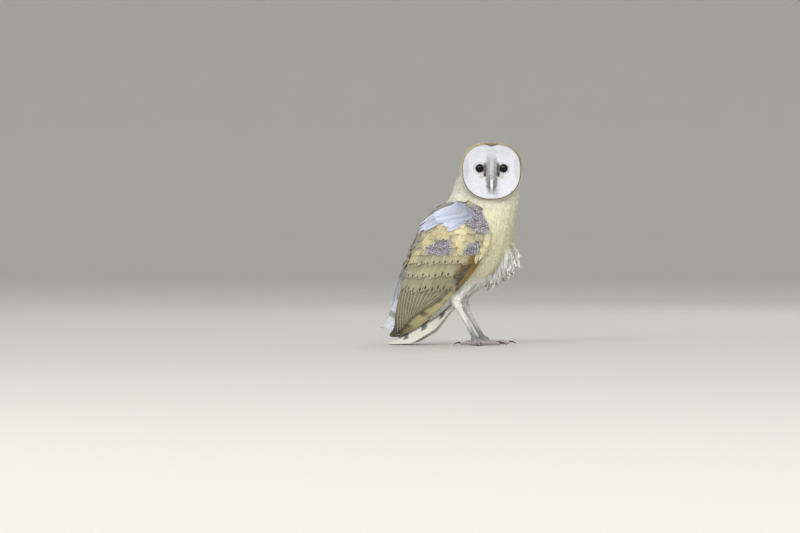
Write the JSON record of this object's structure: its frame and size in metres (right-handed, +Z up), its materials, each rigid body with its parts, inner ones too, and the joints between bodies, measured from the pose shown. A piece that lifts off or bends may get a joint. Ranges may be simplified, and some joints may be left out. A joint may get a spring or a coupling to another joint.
{
  "type": "barn owl",
  "caption": "Life-size still model of a standing barn owl, wings folded and head turned to its right.",
  "frame": {"origin": "on the floor, under the middle of the model's bounding box", "axes": "+X the way the body faces, +Y the bird's left, +Z up; the head looks 77 degrees to the bird's right, towards -Y"},
  "size_m": [0.2324, 0.1432, 0.316],
  "materials": {
    "plumage_buff": "soft cream-buff body feathers with fine dark dots",
    "plumage_white": "soft white feathers of face, thighs and shanks",
    "plumage_golden": "golden-buff feathers veiled with speckled grey",
    "flight_feather": "grey-brown barred vanes, satin",
    "tail_feather": "cream barred vanes, satin",
    "toe_skin": "dry scaled skin with short bristles",
    "claw_horn": "polished black horn",
    "bill_horn": "pale ivory horn, satin",
    "eye_dark": "wet, near-black"
  },
  "bodies": {
    "root": {"bill_lower": "bill_horn", "bill_upper": "bill_horn", "claw_hind_left": "claw_horn", "claw_hind_right": "claw_horn", "claw_inner_left": "claw_horn", "claw_inner_right": "claw_horn", "claw_middle_left": "claw_horn", "claw_middle_right": "claw_horn", "claw_outer_left": "claw_horn", "claw_outer_right": "claw_horn", "eye_left": "eye_dark", "eye_right": "eye_dark", "flight_feathers_left": "flight_feather", "flight_feathers_right": "flight_feather", "foot_left": "toe_skin", "foot_right": "toe_skin", "head": "plumage_white", "neck": "plumage_buff", "shank_left": "plumage_white", "shank_right": "plumage_white", "tail": "tail_feather", "thigh_left": "plumage_white", "thigh_right": "plumage_white", "toe_hind_left": "toe_skin", "toe_hind_right": "toe_skin", "toe_inner_left": "toe_skin", "toe_inner_right": "toe_skin", "toe_middle_left": "toe_skin", "toe_middle_right": "toe_skin", "toe_outer_left": "toe_skin", "toe_outer_right": "toe_skin", "trunk": "plumage_buff", "wing_left": "plumage_golden", "wing_right": "plumage_golden"}
  },
  "joints": []
}
